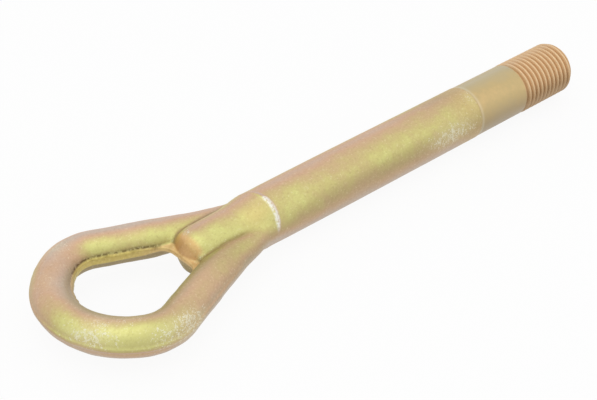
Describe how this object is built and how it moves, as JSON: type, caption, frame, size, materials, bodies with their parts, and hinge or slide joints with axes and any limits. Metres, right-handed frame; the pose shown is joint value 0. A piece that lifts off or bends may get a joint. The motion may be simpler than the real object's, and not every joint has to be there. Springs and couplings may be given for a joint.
{
  "type": "towing eye",
  "caption": "Screw-in towing eye: a forged steel loop that closes on a tongue and runs into a long round shank with a turned seat and a coarse thread, zinc plated and yellow passivated.",
  "frame": {"origin": "where the thread begins, on the axis of the shank", "axes": "+X out of the threaded end along the shank, +Z square to the plane of the eye"},
  "size_m": [0.256, 0.0662, 0.0224],
  "materials": {
    "plated_steel": "satin forged steel, zinc plated, yellow passivated"
  },
  "bodies": {
    "root": {"towing_eye": "plated_steel"}
  },
  "joints": []
}
